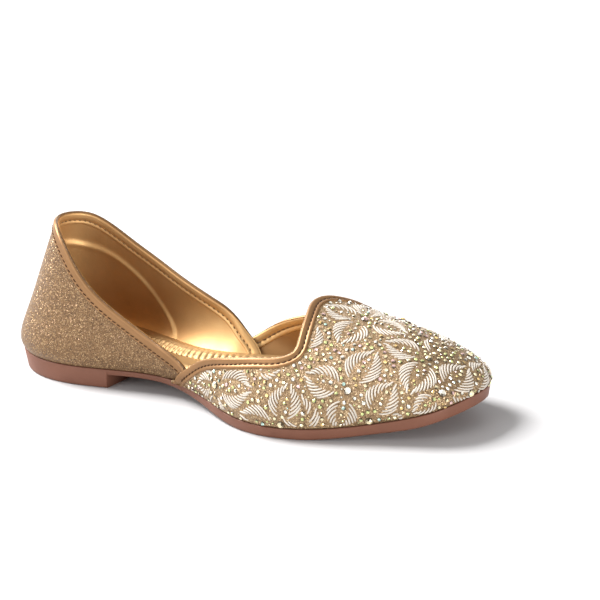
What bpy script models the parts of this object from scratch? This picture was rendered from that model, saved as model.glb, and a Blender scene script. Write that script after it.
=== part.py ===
"""Mojari shoe for the right foot: a low gold slipper with a scalloped throat and a moulded sole.

Everything is worked out in millimetres from the back of the sole: X runs to the toe, Y to the inner side
of the foot and Z up from the floor. The side of the last is a fan of ribs. Each rib starts on the sole's
outline, where the upper meets the sole, and rises in a rounded curve to the crest of the foot, so a point
of the upper is named by its station along the outline, its side and its share of the rib.
"""
from math import cos, pi, sin

import bmesh
import bpy
import numpy as np

for stale in list(bpy.data.objects):
    bpy.data.objects.remove(stale)

MM = 0.001
ORIGIN = np.array([32.0, 0.0, 0.0])  # middle of the heel's rest, which becomes the part's origin

# Main sizes
LENGTH = 247.0
TOE_OFFSET = 6.5  # how far the toe's tip lies to the inner side
LATERAL, MEDIAL = -1, 1
BULGE_HEIGHT = 8.0  # the side swells most at this height above the sole
ARCH_HEIGHT = 22.0  # the inner side leans out up to this height above its waist
STEP = 0.0005  # change of station or share over which slopes are measured

# Upper
WALL = 1.6  # fabric, lining and padding together
EDGE_WALL = 1.0  # skived edge under the binding
COUNTER_WALL = 2.5  # where the heel stiffener is
SKIVE_DEPTH = 6.0
SKIVE_BLEND = 2.5
COUNTER_BLEND = 4.0

# Bindings
LEATHER = 0.7
GAP = 0.3
BAND = 5.2  # height of each leg of the folded strip
EDGE_DROP = 1.3  # the upper's own edge lies this far below the binding's crest
VALLEY_CLEARANCE = 0.2  # share of a column by which each strip stops short of the valley
ROUND_POINTS = 5  # points of the half turn over the edge

# Sole
SOLE_FLARE = 0.4  # the sole's outline stands out this far from the upper
SOLE_EDGE_RADIUS = 1.2  # round along the bottom edge
SOLE_TOP_BEVEL = 0.5
HEEL_TAPER = 1.2  # how far the wall leans in from its top to its bottom
SOLE_TAPER = 0.8
BREAST_BOTTOM, BREAST_TOP = 63.0, 64.5  # where the heel block ends, on the floor and at the waist
BREAST_CLEARANCE = 0.006  # stations nearer than this to the breast are left out
REST_START, REST_END = 149.9, 184.1  # the forefoot lies flat on the floor between these
CREASE_ANGLE = 0.6  # edges of the sole sharper than this, in radians, stay sharp
SPINE_START, SPINE_END = 26.0, 216.0  # ends of the sole's middle line, which its rows close on

# Insole
INSOLE_CLEARANCE = 0.6
COUNTER_END_MARGIN = 6.0  # the insole stays narrow this far past the stiffener's front end

# Side of the last, a rib in each row. The foot is on the sole's outline, lateral and medial are its
# distances from the straight axis, and fall is how steeply the rib still rises where it meets the crest.
# On the inner side the wall also leans out over the narrow waist, by the arch.
# foot x, lateral, medial, foot z, crest x, crest z, fall, roundness, bulge, arch
RIBS = (
    (0.0, 0.0, 0.0, 9.8, 46.0, 119.0, 0.0, 1.20, 3.0, 0.0),
    (6.0, 16.5, 16.5, 9.8, 46.0, 119.0, 0.0, 1.20, 3.0, 0.0),
    (26.0, 29.5, 27.0, 10.0, 47.0, 119.0, 0.0, 1.25, 2.8, 0.0),
    (60.0, 28.5, 23.0, 10.0, 65.0, 113.0, 0.0, 1.45, 2.4, 4.0),
    (95.0, 24.0, 15.0, 9.8, 95.0, 93.0, 0.0, 1.70, 2.2, 9.0),
    (120.0, 31.0, 24.5, 8.1, 120.0, 73.0, 0.10, 1.90, 2.0, 5.0),
    (145.0, 42.5, 36.5, 6.1, 145.0, 58.0, 0.20, 2.10, 1.8, 0.0),
    (165.0, 46.5, 40.5, 5.6, 165.0, 51.0, 0.25, 2.20, 1.6, 0.0),
    (190.0, 41.0, 41.5, 6.0, 187.0, 45.0, 0.25, 2.20, 1.6, 0.0),
    (218.0, 28.5, 38.5, 9.6, 209.0, 40.3, 0.30, 2.30, 2.0, 0.0),
    (238.0, 18.0, 30.5, 14.1, 224.5, 34.5, 0.45, 2.40, 2.0, 0.0),
    (247.0, 0.0, 0.0, 17.1, 230.5, 31.5, 0.50, 2.30, 2.0, 0.0),
)

# Bound edge of the quarter, from the back of the heel to the valley beside the arch.
# foot x, lateral z, medial z
COLLAR = (
    (0.0, 72.6, 72.6),
    (15.0, 71.3, 69.8),
    (31.0, 65.0, 63.8),
    (45.0, 54.6, 56.2),
    (60.0, 43.2, 48.8),
    (75.0, 34.4, 41.4),
    (93.0, 25.4, 32.8),
    (104.0, 21.2, 25.8),
    (112.0, 19.2, 18.8),
)

# Bound edge of the vamp, from the valley over the wing and round the notch to the peak of the tongue.
# foot x, share of the rib
THROAT = (
    (112.0, 0.105),
    (124.0, 0.19),
    (146.0, 0.315),
    (162.0, 0.40),
    (172.0, 0.465),
    (175.5, 0.52),
    (175.0, 0.60),
    (173.0, 0.69),
    (170.0, 0.80),
    (167.0, 0.89),
    (165.0, 1.0),
)

# Upper edge of the heel stiffener, seen as a ridge in the lining.
# foot x, height
COUNTER = ((0.0, 57.0), (17.0, 50.0), (31.0, 43.5), (44.0, 35.0), (56.0, 21.0), (63.0, 10.0))

# Underside of the sole along its middle, ahead of the heel block.
# x, height
UNDERSIDE = (
    (64.5, 6.6),
    (80.0, 6.7),
    (95.0, 6.0),
    (115.0, 3.6),
    (135.0, 1.1),
    (150.0, 0.0),
    (167.0, 0.0),
    (184.0, 0.0),
    (200.0, 1.3),
    (218.0, 4.0),
    (238.0, 8.0),
    (247.0, 10.8),
)

# Section of the footbed from its edge inwards.
# distance from the edge, height above the board
FOOTBED = ((0.0, 0.0), (0.0, 0.8), (0.7, 1.4), (2.5, 1.8), (6.0, 1.6), (12.0, 2.2))

# Stations along the outline: how many fall on the quarter, the wing and the tongue
QUARTER_COLUMNS, WING_COLUMNS, TONGUE_COLUMNS = 20, 12, 12
WALL_ROWS = 8
VALLEY_FOOT, NOTCH_FOOT = 110.0, 190.0  # where the edge's valley and notch send their columns
FRONT_LEAN = 1.5  # how much the columns bend towards the toe


def spline(knots, values, closed=False):
    """Return a smooth curve through the rows of values, as a function of the knots' parameter."""
    knots, values = np.asarray(knots, float), np.asarray(values, float)
    span = np.diff(knots)
    slope = np.diff(values, axis=0) / span[:, None]
    system, load = np.eye(len(knots)), np.zeros_like(values)
    for i in range(1, len(knots) - 1):
        system[i, i - 1:i + 2] = span[i - 1], 2 * (span[i - 1] + span[i]), span[i]
        load[i] = 6 * (slope[i] - slope[i - 1])
    if closed:
        system[0, [0, 1, -2]] = 2 * (span[-1] + span[0]), span[0], span[-1]
        load[0] = 6 * (slope[0] - slope[-1])
        system[-1, 0] = -1
    bend = np.linalg.solve(system, load)

    def curve(u):
        u = np.mod(u, knots[-1]) if closed else np.clip(u, knots[0], knots[-1])
        i = np.clip(np.searchsorted(knots, u, side="right") - 1, 0, len(span) - 1)
        a = ((knots[i + 1] - u) / span[i])[..., None]
        b = 1 - a
        bow = ((a**3 - a) * bend[i] + (b**3 - b) * bend[i + 1]) * span[i][..., None] ** 2 / 6
        return a * values[i] + b * values[i + 1] + bow

    return curve


def chord_knots(points):
    """Knots for a spline through points, spaced by the distances between them, from 0 to 1."""
    steps = np.linalg.norm(np.diff(points, axis=0), axis=1)
    knots = np.concatenate([[0], np.cumsum(steps)])
    return knots / knots[-1]


def rib_loop():
    """Spline of the rib table round the whole outline: 0 at the heel, 1 at the toe, 2 at the heel again.

    Both sides share their knots, so equal stations lie opposite each other.
    """
    table = np.array(RIBS)
    lateral = np.delete(table, 2, axis=1)
    medial = np.delete(table, 1, axis=1)
    lateral[:, 1] *= -1
    lateral[:, -1] = 0
    lateral[-1, 1] = medial[-1, 1] = TOE_OFFSET
    steps = [np.linalg.norm(np.diff(side[:, :2], axis=0), axis=1) for side in (lateral, medial)]
    knots = np.concatenate([[0], np.cumsum(sum(steps))])
    knots /= knots[-1]
    loop = np.vstack([lateral, medial[-2::-1]])
    return spline(np.concatenate([knots, 2 - knots[-2::-1]]), loop, closed=True)


RIB = rib_loop()


def rib(station, side):
    """The rib's values at stations from 0 at the heel to 1 at the toe, on either side."""
    station = np.asarray(station, float)
    return np.moveaxis(RIB(np.where(np.broadcast_to(side, station.shape) < 0, station, 2 - station)), -1, 0)


def station_at(foot_x):
    """Station whose rib starts at the given distance from the back of the sole."""
    stations = np.linspace(0, 1, 2001)
    return np.interp(foot_x, rib(stations, LATERAL)[0], stations)


def centre_y(x):
    """Centre line of the last, which bends to the inner side towards the toe."""
    return TOE_OFFSET * (np.clip(x, 0, None) / LENGTH) ** 1.5


def outer(station, side, share):
    """Point on the upper's outer face: a superellipse from the rib's foot to the crest, with a low bulge
    and, on the inner side, the lean of the arch."""
    x, y, foot_z, crest_x, crest_z, fall, roundness, bulge, arch = rib(station, side)
    angle = np.clip(share, 0, 1) * pi / 2
    across = 1 - np.cos(angle) ** (2 / roundness)
    rise = np.sin(angle) ** (2 / roundness)
    dx, dy = crest_x - x, centre_y(crest_x) - y
    reach = np.hypot(dx, dy)
    lean = -fall * dx
    z = foot_z + lean * across + (crest_z - foot_z - lean) * rise
    height = np.clip(z - foot_z, 0, None)
    low = height / BULGE_HEIGHT
    lean_out = arch * np.sin(np.clip(height / ARCH_HEIGHT, 0, 1) * pi / 2)
    out = (bulge * low * np.exp(1 - low) + lean_out) * (1 - across) / reach
    return np.stack([x + dx * (across - out), y + dy * (across - out), z], -1)


def frame(station, side, share):
    """Change of the outer face with station and with share, and its outward normal."""
    low, high = np.clip(share - STEP, 0, 1), np.clip(share + STEP, 0, 1)
    along = (outer(station + STEP, side, share) - outer(station - STEP, side, share)) / (2 * STEP)
    up = (outer(station, side, high) - outer(station, side, low)) / (high - low)[:, None]
    normal = np.cross(up, along) * side[:, None]
    return along, up, normal / np.linalg.norm(normal, axis=1, keepdims=True)


def dot(a, b):
    return np.sum(a * b, axis=1)


def headings(station, side, share, closed):
    """Direction over the outer face that leads square from the bound edge down into the upper."""
    points = outer(station, side, share)
    if closed:
        tangent = np.roll(points, -1, axis=0) - np.roll(points, 1, axis=0)
    else:
        tangent = np.gradient(points, axis=0)
    down = np.cross(tangent, frame(station, side, share)[2])
    return down / np.linalg.norm(down, axis=1, keepdims=True)


def walk(station, side, share, heading, distance, steps=8):
    """Walk over the outer face from each point in its own heading, and return the stations and shares."""
    for _ in range(steps):
        along, up, normal = frame(station, side, share)
        heading = heading - normal * dot(heading, normal)[:, None]
        heading /= np.linalg.norm(heading, axis=1, keepdims=True)
        aa, au, uu = dot(along, along), dot(along, up), dot(up, up)
        ah, uh = dot(along, heading), dot(up, heading)
        scale = distance / steps / (aa * uu - au * au)
        station = station + (ah * uu - uh * au) * scale
        share = np.clip(share + (uh * aa - ah * au) * scale, 0, 1)
    return station, share


def share_at_height(station, side, height):
    """Share of the rib at which it reaches a height."""
    shares = np.linspace(0, 1, 801)
    return [np.interp(z, outer(t + 0 * shares, side, shares)[:, 2], shares) for t, z in zip(station, height)]


def edge_rows(side):
    """Bound edge on one side as rows of station, side and share: the collar's rows, then the throat's."""
    collar = np.array(COLLAR)
    station = station_at(collar[:, 0])
    height = collar[:, 1] if side == LATERAL else collar[:, 2]
    collar = np.column_stack([station, share_at_height(station, side, height)])
    throat = np.array(THROAT)
    throat[:, 0] = station_at(throat[:, 0])
    collar[-1] = throat[0]
    wing = np.argmax(throat[:, 0])
    collar = resample(collar, side, np.linspace(0, 1, QUARTER_COLUMNS + 1))
    notch = chord_knots(outer(throat[:, 0], side, throat[:, 1]))[wing]
    places = [np.linspace(0, notch, WING_COLUMNS + 1), np.linspace(notch, 1, TONGUE_COLUMNS + 1)[1:]]
    return collar, resample(throat, side, np.concatenate(places))


def resample(rows, side, places):
    """Points at the given shares of the length of a smooth curve through rows of station and share."""
    curve = spline(chord_knots(outer(rows[:, 0], side, rows[:, 1])), rows)
    fine = np.linspace(0, 1, 400)
    travelled = chord_knots(outer(curve(fine)[:, 0], side, curve(fine)[:, 1]))
    rows = curve(np.interp(places, travelled, fine))
    return np.column_stack([rows[:, 0], np.full(len(rows), side), rows[:, 1]])


def feet():
    """Stations on the sole's outline where the upper's columns end, from the heel to the toe."""
    valley, notch = station_at(VALLEY_FOOT), station_at(NOTCH_FOOT)
    return np.concatenate([
        np.linspace(0, valley, QUARTER_COLUMNS + 1),
        np.linspace(valley, notch, WING_COLUMNS + 1)[1:],
        np.linspace(notch, 1, TONGUE_COLUMNS + 1)[1:],
    ])


def both_sides(lateral, medial):
    """One closed ring of rows, forward along the lateral side and back along the medial side."""
    return np.concatenate([lateral, medial[-2:0:-1]])


def blend(value):
    value = np.clip(value, 0, 1)
    return value * value * (3 - 2 * value)


def wall(points, station, edge):
    """Thickness of the upper: skived along its edge, thicker where the heel stiffener lies."""
    distance = np.array([np.min(np.linalg.norm(edge - point, axis=1)) for point in points])
    skived = EDGE_WALL + (WALL - EDGE_WALL) * blend((distance - SKIVE_DEPTH) / SKIVE_BLEND)
    counter = np.array(COUNTER)
    ridge = np.interp(station, station_at(counter[:, 0]), counter[:, 1])
    inside = blend((ridge - points[:, 2]) / COUNTER_BLEND) * (station < station_at(counter[-1, 0]))
    return skived + (COUNTER_WALL - WALL) * inside


def collection(name):
    group = bpy.data.collections.new(name)
    bpy.context.scene.collection.children.link(group)
    return group


def material(name, colour, roughness, metallic=0.0):
    surface = bpy.data.materials.new(name)
    surface.use_nodes = True
    shader = surface.node_tree.nodes["Principled BSDF"]
    shader.inputs["Base Color"].default_value = (*colour, 1)
    shader.inputs["Roughness"].default_value = roughness
    shader.inputs["Metallic"].default_value = metallic
    return surface


def grid_mesh(name, rows, closed, surface, group):
    """Object from rows of points in millimetres, joined row to row; a closed row runs round to its start."""
    form = bmesh.new()
    verts = [[form.verts.new((point - ORIGIN) * MM) for point in row] for row in rows]
    width = len(rows[0])
    for lower, upper in zip(verts, verts[1:]):
        for i in range(width if closed else width - 1):
            j = (i + 1) % width
            form.faces.new((lower[i], lower[j], upper[j], upper[i]))
    mesh = bpy.data.meshes.new(name)
    form.to_mesh(mesh)
    form.free()
    mesh.materials.append(surface)
    mesh.shade_smooth()
    obj = bpy.data.objects.new(name, mesh)
    group.objects.link(obj)
    return obj


def weld(obj, distance=0.01):
    """Join the points that a solid's rows share on its middle line, and face every side outwards."""
    form = bmesh.new()
    form.from_mesh(obj.data)
    bmesh.ops.remove_doubles(form, verts=form.verts, dist=distance * MM)
    bmesh.ops.recalc_face_normals(form, faces=form.faces)
    form.to_mesh(obj.data)
    form.free()


def solidify(obj, thickness, offset):
    shell = obj.modifiers.new("Thickness", "SOLIDIFY")
    shell.thickness = thickness * MM
    shell.offset = offset
    shell.use_even_offset = True
    shell.use_quality_normals = True
    return shell


def make_upper(group):
    """Open shell from the sole's outline to just below the bound edge, thickened inwards."""
    halves = [np.vstack([collar, throat[1:]]) for collar, throat in map(edge_rows, (LATERAL, MEDIAL))]
    station, side, share = both_sides(*halves).T
    foot = both_sides(feet(), feet())
    edge = outer(station, side, share)
    heading = headings(station, side, share, closed=True)
    bands = (EDGE_DROP, SKIVE_DEPTH, SKIVE_DEPTH + SKIVE_BLEND)
    levels = [walk(station, side, share, heading, distance) for distance in bands]
    lean = 1 + FRONT_LEAN * blend((foot - station_at(VALLEY_FOOT)) / (1 - station_at(VALLEY_FOOT)))
    low_station, low_share = levels[-1]
    for height in np.linspace(1, 0, WALL_ROWS + 1)[1:]:
        part = 1 - (1 - height) ** lean
        levels.append((foot + (low_station - foot) * height**lean, low_share * part))
    rows = [outer(t, side, v) for t, v in levels[::-1]]
    obj = grid_mesh("upper", rows, True, material("gold fabric", (0.62, 0.45, 0.27), 0.45, 0.4), group)
    thickness = np.concatenate([wall(row, t, edge) for row, (t, _) in zip(rows, levels[::-1])])
    share_of_wall = obj.vertex_groups.new(name="wall")
    for index, value in enumerate(thickness / COUNTER_WALL):
        share_of_wall.add([index], float(value), "REPLACE")
    shell = solidify(obj, COUNTER_WALL, -1)
    shell.vertex_group = share_of_wall.name
    return obj


def make_binding(name, rows, group):
    """Folded strip over a stretch of the upper's edge, drawn as its inner face and thickened outwards."""
    rows[0] += VALLEY_CLEARANCE * (rows[1] - rows[0])
    rows[-1] += VALLEY_CLEARANCE * (rows[-2] - rows[-1])
    station, side, share = rows.T
    heading = headings(station, side, share, closed=False)
    middle = -EDGE_WALL / 2
    radius = EDGE_WALL / 2 + GAP
    crest = LEATHER + radius
    section = [(BAND, middle + radius), ((BAND + crest) / 2, middle + radius)]
    section += [(crest - radius * sin(a), middle + radius * cos(a)) for a in np.linspace(0, pi, ROUND_POINTS)]
    section += [((BAND + crest) / 2, middle - radius), (BAND, middle - radius)]
    lines = []
    for distance, height in section:
        t, v = walk(station, side, share, heading, distance)
        lines.append(outer(t, side, v) + height * frame(t, side, v)[2])
    obj = grid_mesh(name, lines, False, material(name, (0.75, 0.52, 0.36), 0.3, 0.6), group)
    solidify(obj, LEATHER, 1)
    return obj


def outline(station, side, outwards):
    """Plan of the sole's outline, moved outwards or inwards."""
    here, ahead, behind = (rib(station + shift, side)[:2].T for shift in (0, STEP, -STEP))
    tangent = (ahead - behind) * side[:, None]
    normal = np.column_stack([-tangent[:, 1], tangent[:, 0]])
    normal /= np.linalg.norm(normal, axis=1, keepdims=True)
    return here + normal * np.broadcast_to(outwards, len(station))[:, None]


def spine(station):
    """Middle line of the sole, which the stations round the heel and the toe share at its ends."""
    x = np.clip(rib(station, LATERAL)[0], SPINE_START, SPINE_END)
    return np.column_stack([x, centre_y(x)])


def level(plan, z):
    return np.column_stack([plan, np.broadcast_to(z, len(plan))])


def make_outsole(group):
    """Unit sole: a flat heel block, a breast, a raised waist and a tread that springs up at the toe."""
    stations = feet()
    breast = station_at(np.array([BREAST_BOTTOM, BREAST_TOP]))
    clear = np.min(np.abs(stations[:, None] - breast), axis=1) > BREAST_CLEARANCE
    half = np.sort(np.concatenate([stations[clear], breast]))
    station = both_sides(half, half)
    side = both_sides(np.full(len(half), LATERAL), np.full(len(half), MEDIAL))
    foot_x, foot_z = rib(station, side)[[0, 2]]
    knots = np.array(UNDERSIDE)[:, 0]
    tread = spline(knots, np.array(UNDERSIDE)[:, 1:])(foot_x)[:, 0]
    tread[(foot_x > REST_START) & (foot_x < REST_END)] = 0
    heel = foot_x < (BREAST_BOTTOM + BREAST_TOP) / 2
    bottom = np.where(heel, 0, np.maximum(tread, 0))
    top = foot_z - GAP
    taper = np.where(heel, HEEL_TAPER, SOLE_TAPER)
    middle = spine(station)
    middle_z = np.interp(middle[:, 0], foot_x[:len(half)], top[:len(half)])
    tread_z = np.interp(middle[:, 0], foot_x[:len(half)], bottom[:len(half)])
    r = SOLE_EDGE_RADIUS
    rows = [level(middle, tread_z)]
    for angle in np.linspace(0, pi / 2, 4):
        inwards = taper + r * (1 - sin(angle))
        rows.append(level(outline(station, side, SOLE_FLARE - inwards), bottom + r * (1 - cos(angle))))
    rows.append(level(outline(station, side, SOLE_FLARE), top - SOLE_TOP_BEVEL))
    rows.append(level(outline(station, side, SOLE_FLARE - SOLE_TOP_BEVEL), top))
    rows.append(level(middle, middle_z))
    obj = grid_mesh("outsole", rows, True, material("brown rubber", (0.22, 0.10, 0.075), 0.5), group)
    weld(obj)
    obj.data.set_sharp_from_angle(angle=CREASE_ANGLE)
    return obj


def make_insole(group):
    """Footbed with a low roll round its edge, a little smaller than the inside of the upper."""
    half = feet()
    station = both_sides(half, half)
    side = both_sides(np.full(len(half), LATERAL), np.full(len(half), MEDIAL))
    foot_x, foot_z = rib(station, side)[[0, 2]]
    thickest = np.where(foot_x < COUNTER[-1][0] + COUNTER_END_MARGIN, COUNTER_WALL, WALL)
    middle = spine(station)
    middle_z = np.interp(middle[:, 0], foot_x[:len(half)], foot_z[:len(half)])
    rows = [level(middle, middle_z)]
    for distance, height in FOOTBED:
        rows.append(level(outline(station, side, -thickest - INSOLE_CLEARANCE - distance), foot_z + height))
    rows.append(level(middle, middle_z + FOOTBED[-1][1]))
    obj = grid_mesh("insole", rows, True, material("gold lining", (0.70, 0.46, 0.22), 0.4, 0.5), group)
    weld(obj)
    return obj


shoe = collection("mojari shoe")
make_outsole(shoe)
make_insole(shoe)
make_upper(shoe)
sides = [edge_rows(side) for side in (LATERAL, MEDIAL)]
make_binding("collar_binding", np.vstack([sides[1][0][::-1], sides[0][0][1:]]), shoe)
make_binding("vamp_binding", np.vstack([sides[0][1], sides[1][1][-2::-1]]), shoe)
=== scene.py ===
"""Looks of the mojari shoe: rubber sole, glitter quarter, padded sock, embroidered vamp and bound edges.

The pieces follow one last. Station runs from 0 at the heel to 1 at the toe. Girth runs round the last,
from 0 at the sole's outer edge over 1 on the crest to 2 at its inner edge.
"""

from math import cos, pi, radians, sin

import bpy
import numpy as np
from mathutils import Matrix, Vector


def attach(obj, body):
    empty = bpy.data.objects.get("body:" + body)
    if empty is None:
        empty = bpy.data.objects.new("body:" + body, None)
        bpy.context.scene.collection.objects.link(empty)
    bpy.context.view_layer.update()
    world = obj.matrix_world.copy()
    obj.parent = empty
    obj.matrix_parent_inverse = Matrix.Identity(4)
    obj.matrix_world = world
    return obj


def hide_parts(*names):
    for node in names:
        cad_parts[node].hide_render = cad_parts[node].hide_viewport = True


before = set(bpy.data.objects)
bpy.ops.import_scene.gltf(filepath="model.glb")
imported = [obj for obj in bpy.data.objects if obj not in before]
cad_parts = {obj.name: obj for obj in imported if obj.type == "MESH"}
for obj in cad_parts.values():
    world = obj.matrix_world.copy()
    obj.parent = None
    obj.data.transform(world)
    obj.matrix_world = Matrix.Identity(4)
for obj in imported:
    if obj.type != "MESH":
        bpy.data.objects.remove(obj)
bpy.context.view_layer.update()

# Outsole
# A unit sole moulded in one piece of reddish brown rubber: a low heel block, a thin raised waist and a
# forefoot that springs up at the toe. The upper is pulled under its edge and stuck down on it.

MM = 0.001
ORIGIN = np.array([32.0, 0.0, 0.0])  # sizes below are in millimetres from the back of the sole
LENGTH = 247.0
TOE_OFFSET = 6.5
# One rib of the last in each row, from the sole's outline up to the crest of the foot: where it starts, how
# far the outline lies out to the outer and the inner side, its height, the place and height of the crest,
# the slope of the crest, how round the rib is, how far it swells near the sole, and how far the inner side
# leans out over its narrow waist
# foot x, lateral, medial, foot z, crest x, crest z, fall, roundness, bulge, arch
RIBS = (
    (0, 0, 0, 9.8, 46, 119, 0, 1.2, 3, 0),
    (6, 16.5, 16.5, 9.8, 46, 119, 0, 1.2, 3, 0),
    (26, 29.5, 27, 10, 47, 119, 0, 1.25, 2.8, 0),
    (60, 28.5, 23, 10, 65, 113, 0, 1.45, 2.4, 4),
    (95, 24, 15, 9.8, 95, 93, 0, 1.7, 2.2, 9),
    (120, 31, 24.5, 8.1, 120, 73, 0.1, 1.9, 2, 5),
    (145, 42.5, 36.5, 6.1, 145, 58, 0.2, 2.1, 1.8, 0),
    (165, 46.5, 40.5, 5.6, 165, 51, 0.25, 2.2, 1.6, 0),
    (190, 41, 41.5, 6, 187, 45, 0.25, 2.2, 1.6, 0),
    (218, 28.5, 38.5, 9.6, 209, 40.3, 0.3, 2.3, 2, 0),
    (238, 18, 30.5, 14.1, 224.5, 34.5, 0.45, 2.4, 2, 0),
    (247, 0, 0, 17.1, 230.5, 31.5, 0.5, 2.3, 2, 0),
)


def spline(knots, values, closed=False):
    """Smooth curve through rows of values: a cubic on each span whose second derivatives are continuous."""
    knots, values = np.asarray(knots, float), np.asarray(values, float)
    span = np.diff(knots)
    slope = np.diff(values, axis=0) / span[:, None]
    system, load = np.eye(len(knots)), np.zeros_like(values)
    inner = np.arange(1, len(knots) - 1)
    system[inner, inner - 1] = span[:-1]
    system[inner, inner] = 2 * (span[:-1] + span[1:])
    system[inner, inner + 1] = span[1:]
    load[inner] = 6 * np.diff(slope, axis=0)
    if closed:
        system[0, [0, 1, -2]] = 2 * (span[-1] + span[0]), span[0], span[-1]
        load[0] = 6 * (slope[0] - slope[-1])
        system[-1, 0] = -1
    bend = np.linalg.solve(system, load)

    def curve(u):
        u = np.mod(u, knots[-1]) if closed else np.clip(u, knots[0], knots[-1])
        i = np.clip(np.searchsorted(knots, u, side="right") - 1, 0, len(span) - 1)
        a = ((knots[i + 1] - u) / span[i])[..., None]
        b = 1 - a
        bow = ((a**3 - a) * bend[i] + (b**3 - b) * bend[i + 1]) * span[i][..., None] ** 2 / 6
        return a * values[i] + b * values[i + 1] + bow

    return curve


def rib_loop():
    """Spline of the ribs round the outline: 0 at the heel, 1 at the toe and 2 at the heel again.

    It goes along the outer side first, with its knots spaced as the ribs' feet are. Only the inner side has
    an arch.
    """
    table = np.array(RIBS)
    lateral, medial = np.delete(table, 2, axis=1), np.delete(table, 1, axis=1)
    lateral[:, 1] *= -1
    lateral[:, -1] = 0
    lateral[-1, 1] = medial[-1, 1] = TOE_OFFSET
    steps = sum(np.linalg.norm(np.diff(side[:, :2], axis=0), axis=1) for side in (lateral, medial))
    knots = np.concatenate([[0], np.cumsum(steps)])
    knots /= knots[-1]
    knots = np.concatenate([knots, 2 - knots[-2::-1]])
    return spline(knots, np.vstack([lateral, medial[-2::-1]]), closed=True)


rib_at = rib_loop()
fine_stations = np.linspace(0, 1, 2001)
fine_feet = rib_at(fine_stations)[:, 0]


def station_at(foot_x):
    """Station whose rib starts at a distance from the back of the sole."""
    return np.interp(foot_x, fine_feet, fine_stations)


def centre_y(x):
    """Centre line of the last: it bends to the inner side with the power 1.5 of the distance."""
    return TOE_OFFSET * (np.clip(x, 0, None) / LENGTH) ** 1.5


def smooth(value):
    """Smooth step: three squares less two cubes of the value, held between 0 and 1."""
    value = np.clip(value, 0, 1)
    return value * value * (3 - 2 * value)


def outline(loop_station, outwards):
    """Plan of the sole's outline, moved out along its normal, with the height of the feather edge."""
    here, ahead, behind = (rib_at(loop_station + step) for step in (0, 0.0005, -0.0005))
    along = ahead[..., :2] - behind[..., :2]
    normal = np.stack([along[..., 1], -along[..., 0]], -1)
    normal /= np.linalg.norm(normal, axis=-1, keepdims=True)
    return here[..., :2] + normal * np.asarray(outwards)[..., None], here[..., 2]


MIDDLE_LINE = (26.0, 216.0)  # the flat faces close on a line between these distances


def spine(loop_station):
    """Middle line of the sole, whose ends the stations round the heel and the toe share."""
    x = np.clip(rib_at(loop_station)[..., 0], *MIDDLE_LINE)
    return np.stack([x, centre_y(x)], -1)


def grid_object(name, points, closed=False, uv=None):
    """Object of a grid of points in millimetres: a quad between each two rows and two columns."""
    rows, columns = points.shape[:2]
    index = np.arange(rows * columns).reshape(rows, columns)
    if closed:
        index = np.column_stack([index, index[:, 0]])
    quads = np.stack([index[:-1, :-1], index[:-1, 1:], index[1:, 1:], index[1:, :-1]], -1).reshape(-1, 4)
    return mesh_object(name, points.reshape(-1, 3), quads.tolist(), uv)


def mesh_object(name, points, faces, uv=None):
    """Object of points in millimetres and faces, smooth shaded, with one UV place for each point."""
    mesh = bpy.data.meshes.new(name)
    mesh.from_pydata(((points - ORIGIN) * MM).tolist(), [], faces)
    if uv is not None:
        corners = np.zeros(len(mesh.loops), np.int32)
        mesh.loops.foreach_get("vertex_index", corners)
        layer = mesh.uv_layers.new(name="pattern")
        layer.uv.foreach_set("vector", uv.reshape(-1, 2)[corners].astype(np.float32).ravel())
    mesh.shade_smooth()
    obj = bpy.data.objects.new(name, mesh)
    bpy.context.scene.collection.objects.link(obj)
    return obj


def material(name, colour, roughness, metallic=0.0, **sockets):
    """Principled material, with plain values set on the shader's own sockets, and its shader."""
    surface = bpy.data.materials.new(name)
    surface.use_nodes = True
    shader = surface.node_tree.nodes["Principled BSDF"]
    shader.inputs["Base Color"].default_value = (*colour, 1)
    shader.inputs["Roughness"].default_value = roughness
    shader.inputs["Metallic"].default_value = metallic
    for socket, value in sockets.items():
        shader.inputs[socket.replace("_", " ")].default_value = value
    return surface, shader


def node(surface, kind, inputs=(), **settings):
    """Node of a material, with its settings and with its inputs given as values or as other sockets."""
    made = surface.node_tree.nodes.new(kind)
    for setting, value in settings.items():
        setattr(made, setting, value)
    for socket, value in dict(inputs).items():
        if isinstance(value, bpy.types.NodeSocket):
            surface.node_tree.links.new(value, made.inputs[socket])
        else:
            made.inputs[socket].default_value = value
    return made


def ramp(surface, factor, stops):
    """Colour ramp through (place, colour) stops."""
    made = node(surface, "ShaderNodeValToRGB", {"Fac": factor})
    elements = made.color_ramp.elements
    while len(elements) < len(stops):
        elements.new(0.5)
    for element, (place, colour) in zip(elements, stops):
        element.position = place
        element.color = (*colour, 1)
    return made.outputs["Color"]


def join(surface, out, into):
    """Link from a node's output to a socket."""
    surface.node_tree.links.new(out, into)


def object_noise(surface, scale, detail=3.0):
    """Noise on the object's own coordinates, scale in features a metre."""
    place = node(surface, "ShaderNodeTexCoord").outputs["Object"]
    inputs = {"Vector": place, "Scale": scale, "Detail": detail}
    return node(surface, "ShaderNodeTexNoise", inputs).outputs["Fac"]


def multiply(surface, a, b):
    """Product of two values of a material."""
    return node(surface, "ShaderNodeMath", {0: a, 1: b}, operation="MULTIPLY").outputs[0]


def bump(surface, shader, height, depth):
    """Relief on the shader's normal, as deep as a number of millimetres."""
    made = node(surface, "ShaderNodeBump", {"Height": height, "Distance": depth * MM, "Strength": 1.0})
    join(surface, made.outputs["Normal"], shader.inputs["Normal"])


SOLE_FLARE = 0.4  # the sole stands out this far from the last
BOTTOM_RADIUS, TOP_RADIUS = 1.2, 0.6
HEEL_TAPER, SOLE_TAPER = 1.2, 0.8
BREAST = (63.0, 64.5)  # the step from the heel block up to the waist
FEATHER_GAP = 0.3  # the sole's top edge stays this far below the last's
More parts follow.
